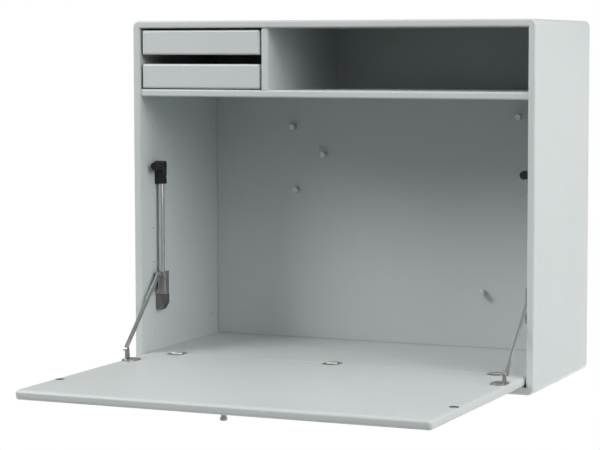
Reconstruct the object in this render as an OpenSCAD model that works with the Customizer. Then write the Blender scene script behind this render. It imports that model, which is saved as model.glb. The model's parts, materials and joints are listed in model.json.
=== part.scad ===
// Wall-hung secretary desk: a lacquered cabinet with a drop-down writing lid on two stays,
// two small drawers, an open cubby and a magnetic back wall.
// Origin at the centre of the back face, which lies against the wall; +Z up, front towards -Y.

/* [Carcase] */
// Overall width
body_w = 696; // [600:1:900]
// Overall height
body_h = 580; // [540:1:760]
// Overall depth
body_d = 290; // [240:1:380]
// Thickness of the carcase boards
board_t = 12; // [10:0.5:16]
// Radius of the four outer corners
corner_r = 10; // [4:0.5:10]
// Rounding of the boards' front edges
edge_r = 3; // [0.5:0.1:4]
// Thickness of the back panel
back_t = 4; // [3:0.5:6]
// Width of the rebate that takes the back panel
rebate_w = 6; // [4:0.5:8]
// Thickness of the painted steel sheet on the back panel
sheet_t = 0.8; // [0.5:0.1:1.5]

/* [Upper row] */
// Clear height of the row above the shelf
upper_h = 100; // [90:1:140]
// Clear width of the drawer bay
bay_w = 220; // [180:1:260]
// How far the shelf and the divider stand back from the front
shelf_recess = 3.5; // [2:0.5:10]

/* [Drawers] */
// Height of a drawer front
front_h = 40; // [34:0.5:44]
// Thickness of a drawer front
front_t = 12; // [10:0.5:16]
// Rounding of a drawer front
front_r = 3.5; // [1:0.1:5]
// Gap on each side of a drawer front
front_side_gap = 3.4; // [1.5:0.1:4]
// Gap between the shelf and the lower drawer front
front_low_gap = 1.5; // [0.6:0.1:2]
// Gap between the upper drawer front and the top panel
front_top_gap = 3.5; // [1:0.1:5]
// Thickness of the drawer sides
drawer_side_t = 10; // [9:0.5:12]
// Height of the drawer sides
drawer_side_h = 33; // [26:0.5:33]
// Thickness of the drawer bottom
drawer_bottom_t = 4; // [3:0.5:6]
// How far a drawer pulls out
drawer_travel = 200; // [100:1:200]

/* [Lid] */
// Thickness of the lid
lid_t = 15; // [13:0.5:18]
// Depth of the closed lid's outer face behind the front edges
lid_inset = 8.6; // [5:0.1:14]
// Air between the open lid and the bottom panel
lid_lift = 0.3; // [0.3:0.1:1]
// Air on each side of the lid
lid_side_gap = 3.5; // [2:0.1:6]
// Air above the closed lid
lid_top_gap = 1.2; // [1:0.1:4]
// Rounding of the lid's edges
lid_edge_r = 5.5; // [1:0.1:6.4]
// Radius of the lid's two front corners
lid_corner_r = 7; // [6.5:0.5:12]
// Distance of the knob from the lid's front edge
knob_in = 32; // [20:1:60]
// Radius of the knob's head
knob_r = 5.5; // [4:0.1:9]
// Height of the knob
knob_h = 13.5; // [10:0.5:20]

/* [Flap hinges] */
// Radius of a hinge cup's round end
cup_r = 14.5; // [12:0.5:17]
// Distance of the cup's centre from the hinge line
cup_off = 6; // [4:0.5:8]
// Depth of a hinge cup
cup_depth = 9; // [6:0.5:11]
// Distance of the outer hinges from the outside of the cabinet
hinge_in = 66.5; // [50:0.5:120]
// Radius of a hinge pin
pin_r = 1.2; // [1:0.1:1.6]
// Outer radius of a hinge knuckle
knuckle_r = 2.2; // [2:0.1:3]

/* [Stays] */
// Radius of the fixed tube
tube_r = 5; // [4:0.5:6]
// Distance of the tube's axis from the side panel
tube_off = 8.5; // [8:0.1:12]
// Distance of the arm's middle plane from the side panel
arm_off = 8; // [7.5:0.1:10]
// Distance of the tube's axis behind the hinge line
tube_back = 34; // [30:0.5:60]
// Height of the slider's pivot above the writing surface when the lid is open
slider_open_z = 129; // [125:0.5:135]
// Distance of the bracket's pivot from the hinge line
bracket_l = 93.8; // [85:0.1:100]
// Height of the bracket's pivot above the writing surface
bracket_h = 17; // [15:0.5:20]
// Thickness of the arm
arm_t = 3; // [2:0.5:3]
// Width of the arm
arm_w = 8; // [5:0.5:8]
// Height of the catch above the writing surface
catch_z = 312; // [300:0.5:320]

/* [Loose pieces] */
// Radius of a round magnet
magnet_r = 5; // [3:0.5:8]
// Length of a round magnet
magnet_l = 14; // [6:0.5:18]

/* [Hidden] */
$fn = 48;

LACQUER = "#c9cfd0";
BLACK = "#1c1d1f";
NICKEL = "#8d8a84";
CHROME = "#d5d8da";
WOOD = "#c8ab7d";

// Carcase faces
half_w = body_w / 2;
half_h = body_h / 2;
inner_x = half_w - board_t;
inner_z = half_h - board_t;
shelf_top = inner_z - upper_h;
shelf_under = shelf_top - board_t;
bay_x = -inner_x + bay_w;
sheet_y = -back_t - sheet_t;
shelf_y = -body_d + shelf_recess;
over = 1;

// Hinge line and lid
axis_y = -body_d + lid_inset + lid_t;
floor_z = -inner_z + lid_lift + lid_t;
hinge_gap = 0.3;
lid_back_y = axis_y - hinge_gap;
lid_l = shelf_under - lid_top_gap - floor_z - hinge_gap;
lid_front_y = lid_back_y - lid_l;
lid_x = inner_x - lid_side_gap;
lid_under = floor_z - lid_t;
knob_y = lid_front_y + knob_in;
knob_neck = 1.5;
knob_head_h = 5;
knob_round = 2;
knob_stud_in = 9;
knob_stud_r = 2;
hinge_xs = [-half_w + hinge_in, 0, half_w - hinge_in];
joint_r = 1;
run_c = 0.05;
knuckle_gap = 0.3;
knuckle_half = 4;
knuckle_end = 9.7;
web_l = 5;
web_t = 1.6;
plate_t = 2.5;
well_step = 2;
plate_gap = 0.35;

// Wall fixing
hanger_x = half_w - 48;
hanger_half = 30;
hanger_t = 1.5;
hanger_top = inner_z + rebate_w - 0.5;
hanger_h = 40;
hanger_hole_r = 3;
hanger_hole_z = hanger_top - 22;
head_hole_r = 6.5;
hanger_screw_z = inner_z + 1.5;
hanger_screw_dx = 22;

// Small wood screws: shank, countersunk head and length
screw_r = 1.6;
screw_head_r = 3;
screw_l = 13;

// Corner splines, centred this far from the inner corner along the mitre
spline_in = 6.5;
spline_t = 3;
spline_w = 8;
spline_end = 20;

// Dowels
dowel_r = 3;
dowel_in = 7;
dowel_out = 15;
dowel_front = 58;
dowel_back = 58;

// Screws of the back panel: distance of the end ones from the inner corners
back_screw_x = 150;
back_screw_low = 80;
back_screw_high = 107;

// Rows of small holes in the sides
row_pitch = 57;
row_low = 36;
row_front = 44;
row_back = 30;
row_hole_r = 1.5;
row_depth = 7;

// Drawers and runners
bay_mid = -inner_x + bay_w / 2;
drawer_half = bay_w / 2 - front_side_gap;
box_gap = 4;
box_half = bay_w / 2 - box_gap;
box_back_y = -29;
box_y = shelf_y + front_t;
side_lift = 3;
drawer_back_t = 8;
bottom_in = 4;
bottom_lift = 3;
runner_h = 7;
runner_c = 0.3;
runner_in = 5;
runner_front = 14;
runner_back_y = -20;
finger_gap = upper_h - 2 * front_h - front_low_gap - front_top_gap;
lower_z = shelf_top + front_low_gap;
upper_z = lower_z + front_h + finger_gap;
drawer_zs = [lower_z, upper_z];
runner_lift = side_lift + 14;

// Stays, drawn at the left; x is measured from the left side's inner face
tube_y = axis_y + tube_back;
slider_pivot_y = tube_y - tube_r - 6.5;
slider_pivot_z = floor_z + slider_open_z;
bracket_y = axis_y - bracket_l;
bracket_z = floor_z + bracket_h;
arm_dy = slider_pivot_y - bracket_y;
arm_dz = slider_pivot_z - bracket_z;
arm_l = sqrt(arm_dy * arm_dy + arm_dz * arm_dz);
arm_angle = atan2(arm_dz, arm_dy);
closed_dy = slider_pivot_y - (axis_y + bracket_h);
slider_travel = floor_z + bracket_l + sqrt(arm_l * arm_l - closed_dy * closed_dy) - slider_pivot_z;
eye_r = 4.6;
slot_c = 0.3;
cheek_t = 2;
slot_half = arm_t / 2 + slot_c;
nose_half = slot_half + cheek_t;
block_front = tube_y - tube_r - 2.5;
block_back = tube_y + tube_r + 3.5;
block_mid_y = (block_front + block_back) / 2;
slider_in = tube_off + tube_r + 5;
slider_out = 1;
nose_low = 8;
slider_low = slider_pivot_z - 34;
slider_top = slider_pivot_z + eye_r;
foot_top = slider_low - 0.4;
foot_low = foot_top - 26;
foot_seat = 14;
foot_in = tube_off + tube_r + 4.5;
foot_slope_w = 7;
foot_slope_h = 11;
cap_low = slider_low + slider_travel + 60;
cap_top = floor_z + catch_z + 7.5;
cap_seat = 10;
cap_in = tube_off + tube_r + 3;
cap_soft = 5;
cap_groove_low = 9;
cap_groove_h = 4;
cap_groove_d = 2.5;
catch_x = 13.5;
catch_r = 6.75;
catch_gap = 0.4;
catch_ring_in = 2.4;
catch_ring_w = 0.8;
catch_ring_d = 0.6;
catch_dimple_r = 1.6;
catch_dimple_d = 1.2;
strike_r = 7.25;
strike_t = 2;
pivot_pin_r = 1.8;
pin_head_r = 3;
pin_head_t = 1.1;
post_t = 3.2;
post_top_r = 4.5;
post_foot_half = 6.5;
oval_r = 12;
oval_half = 7;
oval_set_in = 3;
oval_t = 2;
oval_x = lid_side_gap + oval_set_in + oval_r;
bracket_screw_x = oval_x + 4;
bracket_screw_dy = 11;

// Screws that hold the cap and the foot: where their heads lie and how far they go into the side
stay_screw_in = 8;
well_c = 0.3;
cap_screw_x = cap_in - 2;
cap_screw_z = cap_top - 9;
foot_screw_x = foot_in - foot_slope_w - 0.6;
foot_screw_z = foot_low + 6;

// Magnets: x and z of each
magnet_gap = 0.1;
magnet_round = 0.6;
magnet_at = [
    [-inner_x + 152, shelf_under - 58],
    [-inner_x + 210, shelf_under - 105],
    [-inner_x + 158, shelf_under - 168],
    [inner_x - 106, shelf_under - 35],
    [inner_x - 168, floor_z + 94]
];

// ---- Helpers ----

module box(lo, hi) translate(lo) cube(hi - lo);

// Extrudes a Y-Z outline from x0 to x1
module along_x(x0, x1) translate([x0, 0, 0]) rotate([90, 0, 90]) linear_extrude(x1 - x0) children();

// Extrudes an X-Z outline from y0 to y1
module along_y(y0, y1) translate([0, y1, 0]) rotate([90, 0, 0]) linear_extrude(y1 - y0) children();

// Extrudes an X-Y outline from z0 to z1
module along_z(z0, z1) translate([0, 0, z0]) linear_extrude(z1 - z0) children();

// Cylinder along X, and along Y
module rod_x(x0, x1, y, z, r) translate([x0, y, z]) rotate([0, 90, 0]) cylinder(h = x1 - x0, r = r);
module rod_y(y0, y1, x, z, r) translate([x, y1, z]) rotate([90, 0, 0]) cylinder(h = y1 - y0, r = r);

// What a rounding of radius r takes off an outline's corner at (u, v) that points towards (su, sv)
module corner(u, v, su, sv, r) {
    far = r + over;
    translate([u - su * r, v - sv * r])
        difference() {
            polygon([[0, 0], [su * far, 0], [su * far, sv * far], [0, sv * far]]);
            circle(r = r);
        }
}

// Countersunk screw along +Z with its head's face at z = 0 and its tip at z = -length
module screw(length, r, head_r) {
    head = head_r - r;
    translate([0, 0, -length]) cylinder(h = length - head, r = r);
    translate([0, 0, -head]) cylinder(h = head, r1 = r, r2 = head_r);
}

// Draws a stay's piece on the left (-1) or on the right (1)
module on_side(side) mirror([side > 0 ? 1 : 0, 0, 0]) translate([-inner_x, 0, 0]) children();

// ---- Carcase ----

// One board of the mitred frame, drawn as the top board of a w x h frame with its joints
module frame_board(w, h) {
    difference() {
        along_y(-body_d, 0)
            polygon([[-w / 2, h / 2], [w / 2, h / 2], [w / 2 - board_t, h / 2 - board_t],
                [-w / 2 + board_t, h / 2 - board_t]]);
        for (s = [-1, 1]) {
            along_y(-body_d - over, over) corner(s * w / 2, h / 2, s, 1, corner_r);
            corner_front_cut(w, h, s);
            spline_at(w, h, s);
        }
        along_x(-w / 2 + corner_r, w / 2 - corner_r) corner(-body_d, h / 2, -1, 1, edge_r);
        along_x(-w / 2, w / 2) corner(-body_d, h / 2 - board_t, -1, -1, edge_r);
        box([-w / 2 + board_t - rebate_w, -back_t, 0],
            [w / 2 - board_t + rebate_w, over, h / 2 - board_t + rebate_w]);
    }
}

// Rounding of the front edge where it runs round an outer corner
module corner_front_cut(w, h, s) {
    mirror([s < 0 ? 1 : 0, 0, 0])
        translate([w / 2 - corner_r, 0, h / 2 - corner_r])
            rotate([90, 0, 0])
                rotate_extrude(angle = 90)
                    corner(corner_r, body_d, 1, 1, edge_r);
}

// A spline across the mitre at a top corner
module spline_at(w, h, s) {
    translate([s * (w / 2 - board_t), 0, h / 2 - board_t])
        rotate([0, -s * 45, 0])
            box([-spline_w / 2, -body_d + spline_end, spline_in - spline_t / 2],
                [spline_w / 2, -spline_end, spline_in + spline_t / 2]);
}

module top_panel() color(LACQUER) difference() {
    frame_board(body_w, body_h);
    hanger_recesses();
    hanger_screw_set();
    divider_dowels();
    back_screw_set();
}

module bottom_panel() color(LACQUER) difference() {
    mirror([0, 0, 1]) frame_board(body_w, body_h);
    back_screw_set();
}

// A side board with its dowel holes, its rows of small holes and the stay's screw holes
module side_board(side) difference() {
    rotate([0, side * 90, 0]) frame_board(body_h, body_w);
    shelf_dowels(side);
    side_rows(side);
    on_side(side) stay_screw_pair();
    back_screw_set();
    runner_screw_set();
}

module left_side() color(LACQUER) side_board(-1);

module right_side() color(LACQUER) side_board(1);

// Blind holes at an even pitch in two columns on the inner face
module side_rows(side) {
    clear_h = shelf_under - floor_z;
    for (y = [-body_d + row_front, -row_back], z = [row_low : row_pitch : clear_h - row_hole_r * 2])
        on_side(side) rod_x(-row_depth, over, y, floor_z + z, row_hole_r);
}

module back_panel() color(LACQUER) difference() {
    box([-inner_x - rebate_w, -back_t, -inner_z - rebate_w], [inner_x + rebate_w, 0, inner_z + rebate_w]);
    hanger_recesses();
    for (s = [-1, 1]) rod_y(-back_t - over, over, s * hanger_x, hanger_hole_z, head_hole_r);
    hanger_screw_set();
    back_screw_set();
}

// Steel sheet that the round magnets hold to
module magnet_sheet() color(LACQUER)
    box([-inner_x + over, sheet_y, floor_z + over], [inner_x - over, -back_t, shelf_under - over]);

module shelf() color(LACQUER) difference() {
    box([-inner_x, shelf_y, shelf_under], [inner_x, -back_t, shelf_top]);
    along_x(-inner_x, inner_x) corner(shelf_y, shelf_top, -1, 1, edge_r);
    along_x(-inner_x, inner_x) corner(shelf_y, shelf_under, -1, -1, edge_r);
    for (s = [-1, 1]) shelf_dowels(s);
    divider_dowels();
}

module divider() color(LACQUER) difference() {
    box([bay_x, shelf_y, shelf_top], [bay_x + board_t, -back_t, inner_z]);
    along_z(shelf_top, inner_z) corner(bay_x, shelf_y, -1, -1, edge_r);
    along_z(shelf_top, inner_z) corner(bay_x + board_t, shelf_y, 1, -1, edge_r);
    divider_dowels();
    runner_screw_set();
}

// Raised board that the lid lines up with
module floor_board() color(LACQUER) difference() {
    box([-inner_x, axis_y + hinge_gap, -inner_z], [inner_x, -back_t, floor_z]);
    along_x(-inner_x - over, inner_x + over) corner(axis_y + hinge_gap, floor_z, -1, 1, joint_r);
    for (x = hinge_xs) translate([x, 0, 0]) hinge_pocket(1);
}

// ---- Joints and fixings of the carcase ----

module corner_splines() color(WOOD)
    for (flip = [0, 1], s = [-1, 1]) mirror([0, 0, flip]) spline_at(body_w, body_h, s);

module shelf_dowels(side)
    for (y = [-body_d + dowel_front, -dowel_back])
        on_side(side) rod_x(-dowel_in, dowel_out, y, shelf_top - board_t / 2, dowel_r);

module divider_dowels()
    for (y = [-body_d + dowel_front + 30, -dowel_back - 30], z = [shelf_top, inner_z])
        translate([bay_x + board_t / 2, y, z - dowel_in]) cylinder(h = 2 * dowel_in, r = dowel_r);

module carcase_dowels() color(WOOD) {
    for (s = [-1, 1]) shelf_dowels(s);
    divider_dowels();
}

module back_screw(x, z) translate([x, 0, z]) rotate([-90, 0, 0]) screw(screw_l, screw_r, screw_head_r);

module back_screw_set() {
    edge = rebate_w - screw_head_r - 0.2;
    x_end = inner_x - back_screw_x;
    for (s = [-1, 1], x = [-x_end, 0, x_end]) back_screw(x, s * (inner_z + edge));
    for (s = [-1, 1], z = [-inner_z + back_screw_low, 0, inner_z - back_screw_high])
        back_screw(s * (inner_x + edge), z);
}

module back_screws() color(NICKEL) back_screw_set();

// Steel plates that take the load of the wall screws, flush in the back
module hanger_recesses()
    for (s = [-1, 1])
        box([s * hanger_x - hanger_half, -hanger_t, hanger_top - hanger_h],
            [s * hanger_x + hanger_half, over, hanger_top]);

module hanger_plates() color(NICKEL) difference() {
    intersection() {
        hanger_recesses();
        box([-body_w, -hanger_t, 0], [body_w, 0, body_h]);
    }
    for (s = [-1, 1]) rod_y(-hanger_t - over, over, s * hanger_x, hanger_hole_z, hanger_hole_r);
    hanger_screw_set();
}

module hanger_screw_set()
    for (s = [-1, 1], dx = [-1, 1])
        translate([s * hanger_x + dx * hanger_screw_dx, 0, hanger_screw_z])
            rotate([-90, 0, 0]) screw(screw_l, screw_r, screw_head_r);

module hanger_screws() color(NICKEL) hanger_screw_set();

// ---- Drawers ----

module runner(x, z, reach) {
    x0 = min(x, x + reach);
    box([x0, box_y + runner_front, z], [x0 + abs(reach), runner_back_y, z + runner_h]);
}

module runners_left() color(WOOD) difference() {
    for (z = drawer_zs) runner(-inner_x, z + runner_lift, box_gap + runner_in);
    runner_screw_set();
}

module runners_right() color(WOOD) difference() {
    for (z = drawer_zs) runner(bay_x, z + runner_lift, -box_gap - runner_in);
    runner_screw_set();
}

module runner_screw_set()
    for (z = drawer_zs, y = [box_y + runner_front + 30, runner_back_y - 30], s = [-1, 1])
        translate([bay_mid + s * (box_half - runner_in), y, z + runner_lift + runner_h / 2])
            rotate([0, -s * 90, 0]) screw(screw_l + 4, screw_r, screw_head_r);

module runner_screws() color(NICKEL) runner_screw_set();

module drawer_front(z) color(LACQUER) {
    x0 = bay_mid - drawer_half;
    x1 = bay_mid + drawer_half;
    y1 = shelf_y + front_t;
    difference() {
        box([x0, shelf_y, z], [x1, y1, z + front_h]);
        along_x(x0 - over, x1 + over) corner(shelf_y, z, -1, -1, front_r);
        along_x(x0 - over, x1 + over) corner(shelf_y, z + front_h, -1, 1, front_r);
        along_z(z - over, z + front_h + over) corner(x0, shelf_y, -1, -1, front_r);
        along_z(z - over, z + front_h + over) corner(x1, shelf_y, 1, -1, front_r);
        for (s = [-1, 1], u = [0, 1])
            along_y(shelf_y - over, y1 + over)
                corner(s < 0 ? x0 : x1, z + u * front_h, s, 2 * u - 1, front_r);
        drawer_bottom_board(z);
    }
}

// A drawer side with the groove that its runner fills
module drawer_side(z, side) color(LACQUER) difference() {
    outer = bay_mid + side * box_half;
    inner = outer - side * drawer_side_t;
    box([min(outer, inner), box_y, z + side_lift],
        [max(outer, inner), box_back_y, z + side_lift + drawer_side_h]);
    groove_x = outer - side * (runner_in + runner_c);
    box([min(groove_x, outer + side * over), box_y + runner_front - runner_c, z + runner_lift - runner_c],
        [max(groove_x, outer + side * over), box_back_y + over, z + runner_lift + runner_h + runner_c]);
    drawer_bottom_board(z);
}

module drawer_back(z) color(LACQUER) difference() {
    inner = box_half - drawer_side_t;
    box([bay_mid - inner, box_back_y - drawer_back_t, z + side_lift],
        [bay_mid + inner, box_back_y, z + side_lift + drawer_side_h]);
    drawer_bottom_board(z);
}

// Bottom board, let into the front, the sides and the back
module drawer_bottom_board(z) {
    half = box_half - drawer_side_t + bottom_in;
    low = z + side_lift + bottom_lift;
    box([bay_mid - half, box_y - bottom_in, low],
        [bay_mid + half, box_back_y - drawer_back_t + bottom_in, low + drawer_bottom_t]);
}

module drawer_bottom(z) color(LACQUER) drawer_bottom_board(z);

// ---- Hinges ----

// Outline of half a hinge, behind the hinge line (side = 1) or in the lid (side = -1)
module cup_outline(side, r) {
    reach = cup_off + cup_r + over;
    intersection() {
        translate([0, axis_y]) union() {
            translate([0, side * cup_off]) circle(r = r);
            translate([-r, min(0, side * cup_off)]) square([2 * r, cup_off]);
        }
        translate([-reach, side > 0 ? axis_y + hinge_gap : axis_y - hinge_gap - reach])
            square([2 * reach, reach]);
    }
}

module cup_body(side) {
    along_z(floor_z - plate_t, floor_z) cup_outline(side, cup_r);
    along_z(floor_z - cup_depth, floor_z - plate_t) cup_outline(side, cup_r - well_step);
}

// Room for the knuckles along the hinge line
module knuckle_notch() {
    end = knuckle_end + knuckle_gap;
    rod_x(-end, end, axis_y, floor_z, knuckle_r + knuckle_gap);
}

module hinge_pocket(side) {
    cup_body(side);
    along_z(floor_z - plate_t, floor_z + over) cup_outline(side, cup_r + plate_gap);
    knuckle_notch();
}

// Knuckle from x0 to x1 with the web that ties it to its cup
module knuckle(x0, x1, side) {
    rod_x(x0, x1, axis_y, floor_z, knuckle_r);
    box([x0, min(axis_y, axis_y + side * web_l), floor_z - web_t],
        [x1, max(axis_y, axis_y + side * web_l), floor_z]);
}

module hinge_floor_cups() color(NICKEL)
    for (x = hinge_xs) translate([x, 0, 0]) difference() {
        union() {
            difference() {
                cup_body(1);
                knuckle_notch();
            }
            knuckle(-knuckle_half, knuckle_half, 1);
        }
        rod_x(-knuckle_end - over, knuckle_end + over, axis_y, floor_z, pin_r);
    }

module hinge_lid_cups() color(NICKEL)
    for (x = hinge_xs) translate([x, 0, 0]) difference() {
        union() {
            difference() {
                cup_body(-1);
                knuckle_notch();
            }
            for (s = [-1, 1]) {
                x0 = s > 0 ? knuckle_half + knuckle_gap : -knuckle_end;
                knuckle(x0, x0 + knuckle_end - knuckle_half - knuckle_gap, -1);
            }
        }
        rod_x(-knuckle_end - over, knuckle_end + over, axis_y, floor_z, pin_r + run_c);
    }

module hinge_pins() color(CHROME)
    for (x = hinge_xs) rod_x(x - knuckle_end, x + knuckle_end, axis_y, floor_z, pin_r);

// ---- Lid ----

module lid_panel() color(LACQUER) difference() {
    box([-lid_x, lid_front_y, lid_under], [lid_x, lid_back_y, floor_z]);
    straight_x = lid_x - lid_corner_r;
    straight_y = lid_front_y + lid_corner_r;
    along_x(-lid_x - over, lid_x + over) corner(lid_back_y, floor_z, 1, 1, joint_r);
    along_x(-straight_x, straight_x) corner(lid_front_y, lid_under, -1, -1, lid_edge_r);
    along_x(-straight_x, straight_x) corner(lid_front_y, floor_z, -1, 1, lid_edge_r);
    for (s = [-1, 1]) {
        along_z(lid_under - over, floor_z + over) corner(s * lid_x, lid_front_y, s, -1, lid_corner_r);
        along_y(straight_y, lid_back_y + over) corner(s * lid_x, floor_z, s, 1, lid_edge_r);
        along_y(straight_y, lid_back_y + over) corner(s * lid_x, lid_under, s, -1, lid_edge_r);
        lid_corner_cut(s);
    }
    for (x = hinge_xs) translate([x, 0, 0]) hinge_pocket(-1);
    strikes(strike_r + plate_gap);
    bracket_screw_set();
    knob_stud();
}

// Rounding of the lid's edges where it runs round a front corner
module lid_corner_cut(s)
    mirror([s < 0 ? 1 : 0, 0, 0])
        translate([lid_x - lid_corner_r, lid_front_y + lid_corner_r, lid_under])
            rotate([0, 0, -90])
                rotate_extrude(angle = 90) {
                    corner(lid_corner_r, 0, 1, -1, lid_edge_r);
                    corner(lid_corner_r, lid_t, 1, 1, lid_edge_r);
                }

// Round steel plates flush in the lid, which the catches hold
module strikes(r)
    for (s = [-1, 1])
        translate([s * (inner_x - catch_x), axis_y - catch_z, floor_z - strike_t])
            cylinder(h = strike_t, r = r);

module strike_plates() color(NICKEL) strikes(strike_r);

module lid_knob() color(LACQUER) difference() {
    translate([0, knob_y, lid_under]) rotate([180, 0, 0]) rotate_extrude() difference() {
        union() {
            square([knob_r - knob_neck, knob_h]);
            translate([0, knob_h - knob_head_h]) square([knob_r, knob_head_h]);
        }
        corner(knob_r, knob_h, 1, 1, knob_round);
    }
    knob_stud();
}

module knob_stud()
    translate([0, knob_y, lid_under - knob_stud_in]) cylinder(h = 2 * knob_stud_in, r = knob_stud_r);

module knob_screw() color(NICKEL) knob_stud();

// ---- Stays ----

module stay_tube() color(CHROME)
    translate([tube_off, tube_y, foot_top - foot_seat])
        cylinder(h = cap_low + cap_seat - foot_top + foot_seat, r = tube_r);

// Black moulding that holds the tube's top end to the side panel
module stay_cap() color(BLACK) difference() {
    groove_z = cap_low + cap_groove_low;
    box([0, block_front, cap_low], [cap_in, block_back, cap_top]);
    along_z(cap_low - over, cap_top + over) corner(cap_in, block_back, 1, 1, cap_soft);
    along_z(cap_low - over, cap_top + over) corner(cap_in, block_front, 1, -1, cap_soft / 2);
    along_y(block_front - over, block_back + over) corner(cap_in, cap_top, 1, 1, cap_soft);
    along_x(-over, cap_in + over) corner(block_back, cap_top, 1, 1, cap_soft);
    box([cap_in - cap_groove_d, block_front - over, groove_z],
        [cap_in + over, block_back + over, groove_z + cap_groove_h]);
    stay_tube();
    stay_screw_pair();
    stay_screw_well(cap_screw_x, cap_screw_z);
}

// Round catch that meets the strike plate when the lid is shut
module catch() color(BLACK) difference() {
    rod_y(axis_y + catch_gap, block_front, catch_x, floor_z + catch_z, catch_r);
    translate([catch_x, axis_y + catch_gap, floor_z + catch_z]) rotate([-90, 0, 0])
        rotate_extrude() translate([catch_r - catch_ring_in, -over])
            square([catch_ring_w, over + catch_ring_d]);
    rod_y(axis_y, axis_y + catch_gap + catch_dimple_d, catch_x, floor_z + catch_z, catch_dimple_r);
}

// Bracket that holds the tube's lower end, tapered towards the wall at its foot
module stay_foot() color(NICKEL) difference() {
    along_y(block_front, block_back)
        polygon([[0, foot_low], [foot_in - foot_slope_w, foot_low], [foot_in, foot_low + foot_slope_h],
            [foot_in, foot_top], [0, foot_top]]);
    stay_tube();
    stay_screw_pair();
    stay_screw_well(foot_screw_x, foot_screw_z);
}

// Block that runs on the tube and carries the arm in its front slot
module stay_slider() color(NICKEL) difference() {
    union() {
        box([slider_out, block_front, slider_low], [slider_in, block_back, slider_top]);
        box([arm_off - nose_half, slider_pivot_y - eye_r - 0.9, slider_low + nose_low],
            [arm_off + nose_half, block_front + over, slider_top]);
    }
    along_z(slider_low - over, slider_top + over) corner(slider_in, block_front, 1, -1, 1.5);
    along_z(slider_low - over, slider_top + over) corner(slider_in, block_back, 1, 1, 3);
    box([arm_off - slot_half, slider_pivot_y - 20, slider_low - over],
        [arm_off + slot_half, slider_pivot_y + eye_r + 0.6, slider_top + over]);
    translate([tube_off, tube_y, slider_low - over])
        cylinder(h = slider_top - slider_low + 2 * over, r = tube_r + run_c);
    slider_pin_pair();
}

// A short pin through each cheek of the slider's slot, with its head outside
module slider_pin_pair() {
    rod_x(arm_off - nose_half, arm_off - slot_half, slider_pivot_y, slider_pivot_z, pivot_pin_r);
    rod_x(arm_off + slot_half, arm_off + nose_half, slider_pivot_y, slider_pivot_z, pivot_pin_r);
    rod_x(arm_off + nose_half, arm_off + nose_half + pin_head_t, slider_pivot_y, slider_pivot_z, pin_head_r);
}

module slider_pins() color(CHROME) slider_pin_pair();

module stay_arm() color(CHROME) difference() {
    along_x(arm_off - arm_t / 2, arm_off + arm_t / 2) {
        translate([bracket_y, bracket_z]) circle(r = eye_r - 0.4);
        translate([slider_pivot_y, slider_pivot_z]) circle(r = eye_r);
        translate([bracket_y, bracket_z]) rotate(arm_angle) translate([0, -arm_w / 2]) square([arm_l, arm_w]);
    }
    rod_x(0, 2 * arm_off, bracket_y, bracket_z, pivot_pin_r + run_c);
    rod_x(0, 2 * arm_off, slider_pivot_y, slider_pivot_z, pivot_pin_r);
}

// Oval plate on the lid with the post that holds the arm's outer face
module lid_bracket() color(NICKEL) difference() {
    union() {
        along_z(floor_z, floor_z + oval_t) translate([oval_x, bracket_y]) {
            for (s = [-1, 1]) translate([0, s * oval_half]) circle(r = oval_r);
            translate([-oval_r, -oval_half]) square([2 * oval_r, 2 * oval_half]);
        }
        along_x(arm_off + slot_half, arm_off + slot_half + post_t) {
            translate([bracket_y, bracket_z]) circle(r = post_top_r);
            polygon([[bracket_y - post_foot_half, floor_z], [bracket_y + post_foot_half, floor_z],
                [bracket_y + post_top_r, bracket_z], [bracket_y - post_top_r, bracket_z]]);
        }
    }
    on_bracket_pin();
    on_lid_screws();
}

module on_lid_screws()
    for (s = [-1, 1])
        translate([bracket_screw_x, bracket_y + s * bracket_screw_dy, floor_z + oval_t])
            screw(screw_l, screw_r, screw_head_r);

module bracket_screw_set() for (s = [-1, 1]) on_side(s) on_lid_screws();

module bracket_screws() color(NICKEL) bracket_screw_set();

// Pin through the arm and the post, with a head outside the arm
module on_bracket_pin() {
    rod_x(arm_off - slot_half, arm_off + slot_half + post_t + 0.5, bracket_y, bracket_z, pivot_pin_r);
    rod_x(arm_off - slot_half - pin_head_t, arm_off - slot_half, bracket_y, bracket_z, pin_head_r);
}

module bracket_pins() color(CHROME) for (s = [-1, 1]) on_side(s) on_bracket_pin();

// One screw through the cap and one through the foot, into the side panel
module stay_screw_at(x, z)
    translate([x, block_mid_y, z]) rotate([0, 90, 0]) screw(x + stay_screw_in, screw_r, screw_head_r);

// Room in front of a stay screw's head
module stay_screw_well(x, z)
    rod_x(x, x + foot_in, block_mid_y, z, screw_head_r + well_c);

module stay_screw_pair() {
    stay_screw_at(cap_screw_x, cap_screw_z);
    stay_screw_at(foot_screw_x, foot_screw_z);
}

module stay_screws() color(NICKEL) for (s = [-1, 1]) on_side(s) stay_screw_pair();

// ---- Magnets ----

module magnet(i) color(CHROME)
    translate([magnet_at[i].x, sheet_y - magnet_gap, magnet_at[i].y]) rotate([90, 0, 0])
        rotate_extrude() difference() {
            square([magnet_r, magnet_l]);
            corner(magnet_r, magnet_l, 1, 1, magnet_round);
            corner(magnet_r, 0, 1, -1, magnet_round);
        }

// ---- Nodes ----

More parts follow.
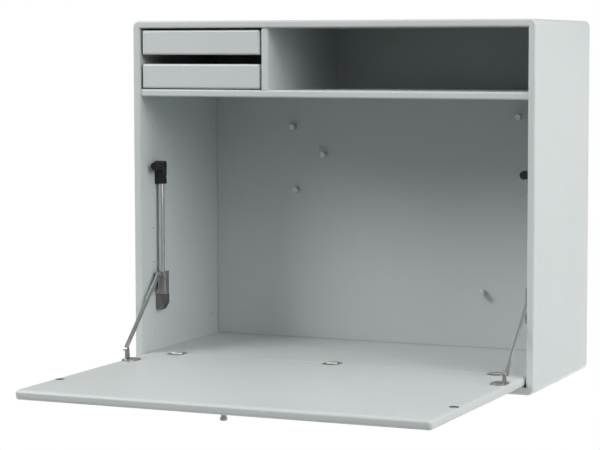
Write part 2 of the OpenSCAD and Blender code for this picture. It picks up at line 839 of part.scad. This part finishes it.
top_panel();
bottom_panel();
left_side();
right_side();
back_panel();
shelf();
divider();
floor_board();
magnet_sheet();
corner_splines();
carcase_dowels();
back_screws();
hanger_plates();
hanger_screws();
runners_left();
runners_right();
runner_screws();
drawer_front(lower_z);  // drawer_lower_front
drawer_side(lower_z, -1);  // drawer_lower_left
drawer_side(lower_z, 1);  // drawer_lower_right
drawer_back(lower_z);  // drawer_lower_back
drawer_bottom(lower_z);  // drawer_lower_bottom
drawer_front(upper_z);  // drawer_upper_front
drawer_side(upper_z, -1);  // drawer_upper_left
drawer_side(upper_z, 1);  // drawer_upper_right
drawer_back(upper_z);  // drawer_upper_back
drawer_bottom(upper_z);  // drawer_upper_bottom
on_side(-1) stay_tube();  // stay_tube_left
on_side(-1) stay_cap();  // stay_cap_left
on_side(-1) catch();  // catch_left
on_side(-1) stay_foot();  // stay_foot_left
on_side(-1) stay_slider();  // stay_slider_left
on_side(-1) slider_pins();  // slider_pins_left
on_side(-1) stay_arm();  // stay_arm_left
on_side(-1) lid_bracket();  // lid_bracket_left
on_side(1) stay_tube();  // stay_tube_right
on_side(1) stay_cap();  // stay_cap_right
on_side(1) catch();  // catch_right
on_side(1) stay_foot();  // stay_foot_right
on_side(1) stay_slider();  // stay_slider_right
on_side(1) slider_pins();  // slider_pins_right
on_side(1) stay_arm();  // stay_arm_right
on_side(1) lid_bracket();  // lid_bracket_right
stay_screws();
bracket_screws();
bracket_pins();
hinge_floor_cups();
hinge_lid_cups();
hinge_pins();
lid_panel();
lid_knob();
knob_screw();
strike_plates();
magnet(0);  // magnet_1
magnet(1);  // magnet_2
magnet(2);  // magnet_3
magnet(3);  // magnet_4
magnet(4);  // magnet_5
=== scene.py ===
"""Wall-hung secretary desk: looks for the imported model, in metres and in its own frame."""

import json
import math

import bmesh
import bpy
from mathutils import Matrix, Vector


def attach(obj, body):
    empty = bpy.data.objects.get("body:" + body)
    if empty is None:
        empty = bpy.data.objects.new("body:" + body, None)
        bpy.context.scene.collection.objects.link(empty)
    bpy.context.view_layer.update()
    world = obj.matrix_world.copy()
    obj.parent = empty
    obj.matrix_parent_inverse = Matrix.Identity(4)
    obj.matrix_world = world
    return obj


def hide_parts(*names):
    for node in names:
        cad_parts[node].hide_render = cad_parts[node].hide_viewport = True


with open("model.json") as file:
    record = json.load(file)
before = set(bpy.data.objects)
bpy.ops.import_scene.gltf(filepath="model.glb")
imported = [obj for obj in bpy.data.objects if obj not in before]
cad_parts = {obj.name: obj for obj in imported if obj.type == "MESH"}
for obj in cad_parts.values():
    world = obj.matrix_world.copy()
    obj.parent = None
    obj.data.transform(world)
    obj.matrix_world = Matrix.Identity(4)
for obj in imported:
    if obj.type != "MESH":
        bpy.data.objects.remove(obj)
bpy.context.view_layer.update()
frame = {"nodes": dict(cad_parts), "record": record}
NODES = frame["nodes"]
BODY_OF = {n: body for body, names in frame["record"]["behaviour"]["bodies"].items() for n in names}
SLOT_OF = {n: o.material_slots[0].material.name for n, o in NODES.items()}
MM = 0.001
SIDES = ("left", "right")

# ---------------------------------------------------------------- camera and light

# Where the camera is, and how far it looks down and turns to the left, in degrees
CAMERA_AT = (1.32425, -3.33691, 0.24231)
CAMERA_DOWN = 4.795
CAMERA_TURN = 22.837
# The lights are aimed at this point, and the floor's middle is below it
MIDDLE = Vector((0, -0.3, -0.05))

camera = bpy.data.cameras.new("camera")
camera.lens = 125.14
camera.sensor_width = 36
camera.shift_x = -0.0833
camera.clip_end = 60
camera_object = bpy.data.objects.new("camera", camera)
camera_object.location = CAMERA_AT
camera_object.rotation_euler = (math.radians(90 - CAMERA_DOWN), 0, math.radians(CAMERA_TURN))
bpy.context.scene.collection.objects.link(camera_object)
bpy.context.scene.camera = camera_object
bpy.context.scene.view_settings.view_transform = "Standard"


def softbox(name, turn, rise, watts, distance=3.6, size=1.7):
    """A square soft light aimed at the desk: turn is its bearing from the front towards +X, in degrees."""
    turn, rise = math.radians(turn), math.radians(rise)
    away = Vector((math.sin(turn) * math.cos(rise), -math.cos(turn) * math.cos(rise), math.sin(rise)))
    light = bpy.data.lights.new(name, "AREA")
    light.shape = "SQUARE"
    light.size = size
    light.energy = watts
    obj = bpy.data.objects.new(name, light)
    obj.location = MIDDLE + away * distance
    obj.rotation_euler = (-away).to_track_quat("-Z", "Y").to_euler()
    bpy.context.scene.collection.objects.link(obj)


softbox("key_left", -45, 35, 75)
softbox("key_right", 80, 35, 44)
softbox("right_low", 80, 10, 17)
softbox("front_right", 60, 25, 32)
softbox("front_top", 0, 50, 9.5)
softbox("far_right", 100, 20, 24)
softbox("far_left", -75, 25, 29)
softbox("rear_top", 180, 65, 12)
softbox("rear_low", 180, -8, 36)
softbox("rear_right", 122, 25, 15)
softbox("rear_left", -108, 30, 15)

# The world is a white sweep to the camera, a pale grey room in reflections and dim as a light
WORLD_LIGHT = 0.05
WORLD_MIRRORED = 0.3
world = bpy.data.worlds.new("studio")
bpy.context.scene.world = world
world.use_nodes = True
tree = world.node_tree
tree.nodes.clear()
world_out = tree.nodes.new("ShaderNodeOutputWorld")
seen = tree.nodes.new("ShaderNodeBackground")
seen.inputs["Color"].default_value = (1, 1, 1, 1)
lit = tree.nodes.new("ShaderNodeBackground")
lit.inputs["Color"].default_value = (0.97, 1, 0.985, 1)
pick = tree.nodes.new("ShaderNodeMixShader")
path = tree.nodes.new("ShaderNodeLightPath")
strength = tree.nodes.new("ShaderNodeMapRange")
strength.inputs["To Min"].default_value = WORLD_LIGHT
strength.inputs["To Max"].default_value = WORLD_MIRRORED
tree.links.new(path.outputs["Is Glossy Ray"], strength.inputs["Value"])
tree.links.new(strength.outputs["Result"], lit.inputs["Strength"])
tree.links.new(path.outputs["Is Camera Ray"], pick.inputs[0])
tree.links.new(lit.outputs[0], pick.inputs[1])
tree.links.new(seen.outputs[0], pick.inputs[2])
tree.links.new(pick.outputs[0], world_out.inputs[0])

# ---------------------------------------------------------------- material helpers

# The cosine between the rounded and the true normal, at an edge and on a flat face
EDGE_COS = (0.86, 0.995)


class Shader:
    """A Principled material built from procedural textures in the object's own metres."""

    def __init__(self, name):
        self.material = bpy.data.materials.new(name)
        self.material.use_nodes = True
        self.tree = self.material.node_tree
        self.tree.nodes.clear()
        out = self.node("OutputMaterial")
        self.bsdf = self.node("BsdfPrincipled")
        self.link(self.bsdf.outputs[0], out.inputs[0])
        self.coords = self.node("TexCoord").outputs["Object"]

    def node(self, kind, **settings):
        n = self.tree.nodes.new("ShaderNode" + kind)
        for key, value in settings.items():
            setattr(n, key, value)
        return n

    def link(self, a, b):
        self.tree.links.new(a, b)

    def put(self, socket, value):
        if isinstance(value, bpy.types.NodeSocket):
            self.link(value, socket)
        else:
            socket.default_value = value

    def stretched(self, scale, turn=(0, 0, 0)):
        m = self.node("Mapping")
        self.link(self.coords, m.inputs["Vector"])
        m.inputs["Scale"].default_value = scale
        m.inputs["Rotation"].default_value = turn
        return m.outputs[0]

    def noise(self, scale, detail=3.0, rough=0.55, vector=None, distortion=0.0):
        n = self.node("TexNoise")
        self.link(vector or self.coords, n.inputs["Vector"])
        n.inputs["Scale"].default_value = scale
        n.inputs["Detail"].default_value = detail
        n.inputs["Roughness"].default_value = rough
        n.inputs["Distortion"].default_value = distortion
        return n.outputs["Fac"]

    def cells(self, scale, vector=None):
        n = self.node("TexVoronoi", feature="F1")
        self.link(vector or self.coords, n.inputs["Vector"])
        n.inputs["Scale"].default_value = scale
        return n.outputs["Distance"]

    def remap(self, value, low, high, to_low, to_high):
        n = self.node("MapRange", clamp=True)
        self.link(value, n.inputs["Value"])
        for key, v in (("From Min", low), ("From Max", high), ("To Min", to_low), ("To Max", to_high)):
            n.inputs[key].default_value = v
        return n.outputs["Result"]

    def maths(self, operation, a, b):
        n = self.node("Math", operation=operation)
        self.put(n.inputs[0], a)
        self.put(n.inputs[1], b)
        return n.outputs[0]

    def blend(self, factor, a, b):
        n = self.node("Mix", data_type="RGBA")
        self.put(n.inputs["Factor"], factor)
        for socket, value in ((n.inputs[6], a), (n.inputs[7], b)):
            self.put(socket, value if isinstance(value, bpy.types.NodeSocket) else (*value, 1))
        return n.outputs[2]

    def edge_mask(self, radius):
        """1 on edges sharper than radius, 0 on flat faces."""
        bevel = self.node("Bevel", samples=4)
        bevel.inputs["Radius"].default_value = radius
        geometry = self.node("NewGeometry")
        dot = self.node("VectorMath", operation="DOT_PRODUCT")
        self.link(bevel.outputs[0], dot.inputs[0])
        self.link(geometry.outputs["Normal"], dot.inputs[1])
        return self.remap(dot.outputs["Value"], *EDGE_COS, 1, 0)

    def bump(self, height, strength, distance, below=None):
        n = self.node("Bump")
        n.inputs["Strength"].default_value = strength
        n.inputs["Distance"].default_value = distance
        self.link(height, n.inputs["Height"])
        if below:
            self.link(below, n.inputs["Normal"])
        return n.outputs[0]

    def finish(self, colour, roughness, normal, **constants):
        self.put(self.bsdf.inputs["Base Color"], colour)
        self.put(self.bsdf.inputs["Roughness"], roughness)
        self.link(normal, self.bsdf.inputs["Normal"])
        for key, value in constants.items():
            self.bsdf.inputs[key.replace("_", " ")].default_value = value
        return self.material


# Texture scales, in features per metre
MOTTLE = 2.6
SPECKS = 46.0
RUBBED = 38.0
SMUDGES = 9.0
SCRATCHES_ACROSS = 420.0
SCRATCHES_ALONG = 9.0
ORANGE_PEEL = 620.0
FINE_PEEL = 2600.0
BRUSHED_ACROSS = 1400.0
BRUSHED_ALONG = 40.0
PLATING_WAVES = 260.0
MOULD_GRAIN = 1500.0
MOULD_CLOUDS = 60.0
MOULD_WAVES = 400.0
BEECH_GRAIN = (170.0, 7.0, 170.0)
BEECH_FLECKS = (900.0, 130.0, 900.0)

# Where a noise has most of its values
MID = (0.3, 0.7)


def tinted(colour, *factors):
    """A colour times one factor, or one per channel, and at most 1 in each."""
    return tuple(min(1, c * f) for c, f in zip(colour, factors * 3 if len(factors) == 1 else factors))


def scratches(s, turns):
    """Thin straight marks at several angles, as a 0 to 1 mask."""
    total = None
    for turn in turns:
        lines = s.stretched((SCRATCHES_ACROSS, SCRATCHES_ALONG, SCRATCHES_ALONG), (0, 0, turn))
        marks = s.remap(s.noise(1.0, 1.0, 0.5, lines), 0.70, 0.76, 0, 1)
        total = marks if total is None else s.maths("MAXIMUM", total, marks)
    return total


# ---------------------------------------------------------------- materials


def lacquer(name, tint, peel, wear):
    """Sprayed satin lacquer on board: orange peel, faint mottling, softly worn edges."""
    s = Shader(name)
    mottle = s.remap(s.noise(MOTTLE, 2.0), *MID, 0, 1)
    fine = s.noise(SPECKS, 4.0, 0.6)
    tone = s.blend(mottle, tinted(tint, 0.975, 0.975, 0.98), tinted(tint, 1.02))
    speck = s.remap(fine, 0.35, 0.7, 0.0, 0.35)
    tone = s.blend(speck, tone, tinted(tint, 0.955, 0.96, 0.965))
    edge = s.edge_mask(1.3 * MM)
    patches = s.remap(s.noise(RUBBED, 3.0), 0.47, 0.62, 0, 1)
    worn = s.maths("MULTIPLY", s.maths("MULTIPLY", edge, patches), wear)
    tone = s.blend(worn, tone, tinted(tint, 1.22, 1.2, 1.19))
    smudge = s.remap(s.noise(SMUDGES, 5.0, 0.65, None, 0.4), 0.3, 0.72, 0.33, 0.47)
    marks = scratches(s, (0.3, 1.2, 2.3))
    rough = s.maths("ADD", smudge, s.maths("MULTIPLY", marks, 0.05))
    peel_bump = s.bump(s.noise(ORANGE_PEEL, 2.0, 0.45), peel, 0.06 * MM)
    grain = s.bump(s.noise(FINE_PEEL, 1.0), peel * 0.5, 0.02 * MM, peel_bump)
    normal = s.bump(marks, 0.05, 0.01 * MM, grain)
    return s.finish(tone, rough, normal, IOR=1.5, Specular_IOR_Level=0.42,
                    Coat_Weight=0.12, Coat_Roughness=0.28)


def brushed(name, colour, low, high, along, blotch, contrast=0.12, depth=0.12):
    """Plated steel: fine lines along one axis, cloudy roughness, and a painted highlight that brightens
    every edge.
    """
    s = Shader(name)
    scale = [BRUSHED_ALONG if axis == along else BRUSHED_ACROSS for axis in "xyz"]
    lines = s.noise(1.0, 2.0, 0.6, s.stretched(scale))
    clouds = s.noise(blotch, 4.0, 0.6)
    tone = s.blend(s.remap(clouds, *MID, 0, 1), tinted(colour, 1 - contrast), tinted(colour, 1 + contrast))
    edge = s.edge_mask(0.5 * MM)
    # Painted highlight: the tone is brightened on every edge, as if the edges caught the light
    tone = s.blend(s.maths("MULTIPLY", edge, 0.45), tone, tinted(colour, 1.35, 1.35, 1.36))
    cloudy = s.remap(clouds, 0.25, 0.75, low, high)
    rough = s.maths("ADD", cloudy, s.remap(lines, *MID, -depth * 0.2, depth * 0.4))
    lines_bump = s.bump(lines, depth, 0.02 * MM)
    normal = s.bump(s.noise(PLATING_WAVES, 3.0), depth * 0.4, 0.02 * MM, lines_bump)
    return s.finish(tone, rough, normal, Metallic=1.0)


def moulded(name, colour):
    """Black moulded plastic with an eroded grain, and a painted sheen that lightens its edges."""
    s = Shader(name)
    grain = s.cells(MOULD_GRAIN)
    clouds = s.noise(MOULD_CLOUDS, 4.0)
    tone = s.blend(s.remap(clouds, 0.3, 0.75, 0, 1), tinted(colour, 0.8), tinted(colour, 1.5))
    edge = s.edge_mask(0.6 * MM)
    # Painted sheen: the tone is lightened on every edge, as if the edges caught the light
    tone = s.blend(s.maths("MULTIPLY", edge, 0.5), tone, tinted(colour, 2.6))
    rough = s.remap(clouds, 0.3, 0.75, 0.38, 0.54)
    normal = s.bump(s.noise(MOULD_WAVES, 2.0), 0.08, 0.03 * MM, s.bump(grain, 0.22, 0.03 * MM))
    return s.finish(tone, rough, normal, IOR=1.52, Specular_IOR_Level=0.45)


def beech(name):
    """Bare beech: straight fine grain along Y with short dark flecks."""
    s = Shader(name)
    grain = s.noise(1.0, 5.0, 0.6, s.stretched(BEECH_GRAIN), 0.5)
    flecks = s.remap(s.cells(1.0, s.stretched(BEECH_FLECKS)), 0.12, 0.3, 1, 0)
    tone = s.blend(s.remap(grain, *MID, 0, 1), (0.47, 0.31, 0.175), (0.64, 0.47, 0.30))
    tone = s.blend(s.maths("MULTIPLY", flecks, 0.45), tone, (0.30, 0.17, 0.09))
    rough = s.remap(grain, *MID, 0.55, 0.7)
    normal = s.bump(flecks, 0.15, 0.04 * MM, s.bump(grain, 0.25, 0.08 * MM))
    return s.finish(tone, rough, normal, Specular_IOR_Level=0.3)


GREY = (0.613, 0.646, 0.645)
MATERIALS = {
    "lacquer": lacquer("lacquer_satin", GREY, 0.10, 0.30),
    "writing": lacquer("lacquer_writing_lid", (0.607, 0.638, 0.636), 0.08, 0.40),
    "painted_sheet": lacquer("lacquer_on_steel", (0.611, 0.643, 0.642), 0.14, 0.15),
    "plain_wood": beech("beech"),
    "black_plastic": moulded("black_moulding", (0.007, 0.0072, 0.008)),
    "nickel": brushed("satin_nickel", (0.42, 0.415, 0.40), 0.28, 0.38, "z", 90.0),
    "chrome": brushed("polished_chrome", (0.76, 0.775, 0.79), 0.08, 0.13, "z", 60.0, 0.03, 0.02),
    "cast": brushed("cast_zinc", (0.22, 0.21, 0.20), 0.40, 0.55, "x", 240.0, 0.3, 0.1),
    "dark_strike": brushed("burnished_steel", (0.115, 0.117, 0.12), 0.30, 0.42, "x", 120.0, 0.2),
    "magnet": brushed("tumbled_nickel", (0.66, 0.665, 0.655), 0.30, 0.42, "y", 160.0, 0.12, 0.06),
    "zinc_steel": brushed("bright_zinc", (0.50, 0.51, 0.52), 0.42, 0.58, "x", 200.0, 0.18),
}
# Nodes that look different from the rest of their slot
OWN_LOOK = {"lid_panel": "writing", "strike_plates": "dark_strike", "bracket_pins": "nickel",
            "stay_foot_left": "cast", "stay_foot_right": "cast",
            **{f"magnet_{i}": "magnet" for i in range(1, 6)}}
for name, obj in NODES.items():
    key = OWN_LOOK.get(name, SLOT_OF[name])
    for slot in obj.material_slots:
        slot.material = MATERIALS[key]

# ---------------------------------------------------------------- finer pieces


def stand_for(obj, node):
    """Gives a finer piece its node's look, slot and body, and hides the node."""
    obj.data.materials.clear()
    obj.data.materials.append(MATERIALS[OWN_LOOK.get(node, SLOT_OF[node])])
    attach(obj, BODY_OF[node])
    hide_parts(node)


def mesh_object(name, bm, smooth_angle=35):
    mesh = bpy.data.meshes.new(name)
    bm.to_mesh(mesh)
    bm.free()
    obj = bpy.data.objects.new(name, mesh)
    bpy.context.scene.collection.objects.link(obj)
    mesh.shade_smooth()
    mesh.set_sharp_from_angle(angle=math.radians(smooth_angle))
    return obj


def bake_modifiers(obj):
    graph = bpy.context.evaluated_depsgraph_get()
    done = bpy.data.meshes.new_from_object(obj.evaluated_get(graph))
    obj.modifiers.clear()
    obj.data = done


# Points closer than this are one point, and faces that turn less than this are one face
WELD = 2e-6
FLAT = math.radians(0.8)


def welded(node):
    """A CAD node's mesh with its coincident points joined."""
    bm = bmesh.new()
    bm.from_mesh(NODES[node].data)
    bmesh.ops.remove_doubles(bm, verts=bm.verts, dist=WELD)
    return bm


def islands(node):
    """Vertex positions of each loose part of a node, in the same order on every run."""
    bm = welded(node)
    left = set(bm.verts)
    found = []
    while left:
        part, frontier = set(), [left.pop()]
        while frontier:
            v = frontier.pop()
            part.add(v)
            for e in v.link_edges:
                other = e.other_vert(v)
                if other in left:
                    left.discard(other)
                    frontier.append(other)
        found.append(sorted(tuple(v.co) for v in part))
    bm.free()
    return sorted(found)


def softened(node, width, segments=3, angle=38):
    """Stands a copy of a CAD piece in for it, with its hard edges rounded by width."""
    bm = welded(node)
    bmesh.ops.dissolve_limit(bm, angle_limit=FLAT, verts=bm.verts, edges=bm.edges)
    obj = mesh_object(node + "_fine", bm)
    bevel = obj.modifiers.new("round", "BEVEL")
    bevel.width = width
    bevel.segments = segments
    bevel.limit_method = "ANGLE"
    bevel.angle_limit = math.radians(angle)
    bevel.miter_outer = "MITER_ARC"
    obj.modifiers.new("normals", "WEIGHTED_NORMAL").keep_sharp = True
    bake_modifiers(obj)
    stand_for(obj, node)


# The cross recess of a screw head: half its length, half its width, depth, taper at the bottom,
# and how far the cutter stands proud of the head
RECESS_REACH = 1.9 * MM
RECESS_HALF_W = 0.375 * MM
RECESS_DEPTH = 1.3 * MM
RECESS_TAPER = 0.45
RECESS_OVER = 0.4 * MM


def cross_recessed(node, axis):
    """Stands a copy of a node's screws in for them, with a cross cut into each head, which faces +axis."""
    screws = mesh_object(node + "_fine", welded(node))
    cutter = bmesh.new()
    across = [k for k in range(3) if k != axis]
    for points in islands(node):
        low = [min(v[k] for v in points) for k in range(3)]
        high = [max(v[k] for v in points) for k in range(3)]
        head = [(a + b) / 2 for a, b in zip(low, high)]
        for long, short in (across, across[::-1]):
            for v in bmesh.ops.create_cube(cutter, size=2)["verts"]:
                deep = v.co[axis] < 0
                v.co[long] = head[long] + v.co[long] * RECESS_REACH * (RECESS_TAPER if deep else 1)
                v.co[short] = head[short] + v.co[short] * RECESS_HALF_W
                v.co[axis] = high[axis] + (-RECESS_DEPTH if deep else RECESS_OVER)
    knife = mesh_object(node + "_recess", cutter)
    cut = screws.modifiers.new("recess", "BOOLEAN")
    cut.operation = "DIFFERENCE"
    cut.solver = "EXACT"
    cut.use_self = True
    cut.object = knife
    bake_modifiers(screws)
    bpy.data.objects.remove(knife)
    stand_for(screws, node)


# Width of the rounded edges, in mm
SOFT_EDGES = {"stay_cap": 0.9, "stay_foot": 0.6, "stay_slider": 0.5, "lid_bracket": 0.45}
for side in SIDES:
    for piece, width in SOFT_EDGES.items():
        softened(f"{piece}_{side}", width * MM)
# The axes that the screw heads face
Y, Z = 1, 2
cross_recessed("bracket_screws", Z)
cross_recessed("back_screws", Y)
cross_recessed("hanger_screws", Y)

# ---------------------------------------------------------------- floor

FLOOR_Z = -0.78
FLOOR_R = 1.35
# The floor fades out between these parts of its radius, into the white sweep
FADE = (0.6, 0.99)
floor_mesh = bmesh.new()
bmesh.ops.create_circle(floor_mesh, cap_ends=True, cap_tris=False, segments=96, radius=FLOOR_R)
floor = mesh_object("floor", floor_mesh)
floor.location = (MIDDLE.x, MIDDLE.y, FLOOR_Z)
floor_shader = Shader("pale_floor")
floor_grain = floor_shader.noise(160.0, 3.0)
floor_mottle = floor_shader.remap(floor_shader.noise(1.5), *MID, 0, 1)
floor.data.materials.append(floor_shader.finish(
    floor_shader.blend(floor_mottle, (0.88, 0.88, 0.88), (0.92, 0.92, 0.92)),
    floor_shader.remap(floor_grain, *MID, 0.55, 0.7),
    floor_shader.bump(floor_grain, 0.05, 0.1 * MM)))
rim = floor_shader.node("VectorMath", operation="LENGTH")
floor_shader.link(floor_shader.coords, rim.inputs[0])
fade = floor_shader.remap(rim.outputs["Value"], *(FLOOR_R * part for part in FADE), 1, 0)
floor_shader.link(fade, floor_shader.bsdf.inputs["Alpha"])
